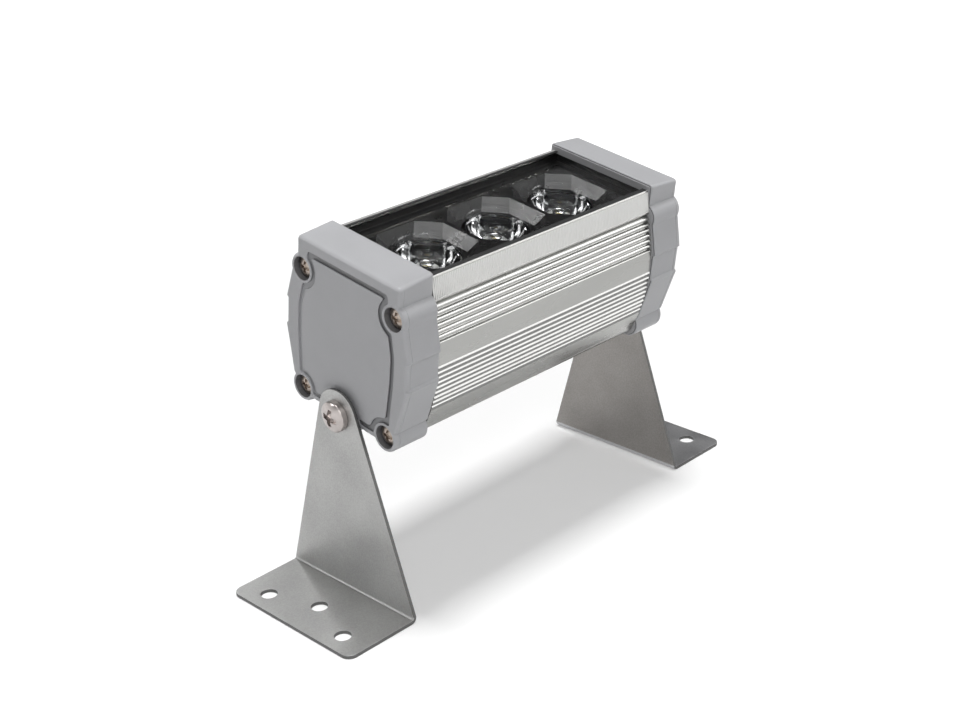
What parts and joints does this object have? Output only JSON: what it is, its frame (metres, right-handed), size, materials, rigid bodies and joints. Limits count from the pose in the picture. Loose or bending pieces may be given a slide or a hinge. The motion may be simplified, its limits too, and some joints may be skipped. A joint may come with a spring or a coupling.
{
  "type": "outdoor wall washer light",
  "caption": "Short linear wall washer: ribbed aluminium head with lensed light sources behind glass, cast end caps, and two folded steel brackets it tilts between.",
  "frame": {"origin": "middle of the four outer foot holes, on the mounting plane under the feet", "axes": "+X along the head towards the cap with the cable gland, -Y the side the head leans to, +Z away from the mounting plane"},
  "size_m": [0.2188, 0.0717, 0.1416],
  "materials": {
    "anodised_aluminium": "bead-blasted and anodised, silver",
    "grey_casting": "satin grey powder coat",
    "black_rubber": "matt",
    "screw_steel": "plain stainless",
    "clear_glass": "clear tempered",
    "black_plastic": "fine moulded texture",
    "clear_lens": "polished clear acrylic",
    "light_source": "phosphor under a clear dome",
    "white_board": "white solder mask",
    "thermal_rubber": "matt",
    "green_board": "green solder mask",
    "dark_component": "moulded",
    "green_plastic": "moulded",
    "red_wire": "insulated",
    "stainless_sheet": "cold-rolled, fine grain",
    "pivot_steel": "bright stainless",
    "nylon": "matt",
    "grey_nylon": "fine moulded texture"
  },
  "bodies": {
    "left_foot": {"left_bracket": "stainless_sheet"},
    "head": {"housing_profile": "anodised_aluminium", "left_end_cap": "grey_casting", "right_end_cap": "grey_casting", "left_cap_gasket": "black_rubber", "right_cap_gasket": "black_rubber", "left_cap_screws": "screw_steel", "right_cap_screws": "screw_steel", "front_glass": "clear_glass", "glass_seal": "black_rubber", "lens_bezel": "black_plastic", "lens_1": "clear_lens", "lens_2": "clear_lens", "lens_3": "clear_lens", "lens_holder_1": "black_plastic", "lens_holder_2": "black_plastic", "lens_holder_3": "black_plastic", "led_1": "light_source", "led_2": "light_source", "led_3": "light_source", "led_board": "white_board", "thermal_pad": "thermal_rubber", "board_screws": "screw_steel", "driver_board": "green_board", "driver_coil": "dark_component", "driver_capacitors": "dark_component", "driver_chip": "dark_component", "terminal_block": "green_plastic", "led_leads": "red_wire", "left_pivot_screw": "pivot_steel", "right_pivot_screw": "pivot_steel", "left_pivot_washer": "nylon", "right_pivot_washer": "nylon", "gland_body": "grey_nylon", "gland_seal": "black_rubber", "gland_nut": "grey_nylon"},
    "right_foot": {"right_bracket": "stainless_sheet"}
  },
  "joints": [
    {"name": "head_tilt", "type": "hinge", "parent": "left_foot", "child": "head", "pos_m": [-0.0765, 0, 0.075], "axis": [1, 0, 0], "range_deg": [-99, 81]},
    {"name": "right_bracket_swing", "type": "hinge", "parent": "head", "child": "right_foot", "pos_m": [0.0765, 0, 0.075], "axis": [1, 0, 0], "range_deg": [-81, 99]}
  ],
  "couplings": [
    {"joint": "right_bracket_swing", "follows": "head_tilt", "ratio": -1}
  ]
}
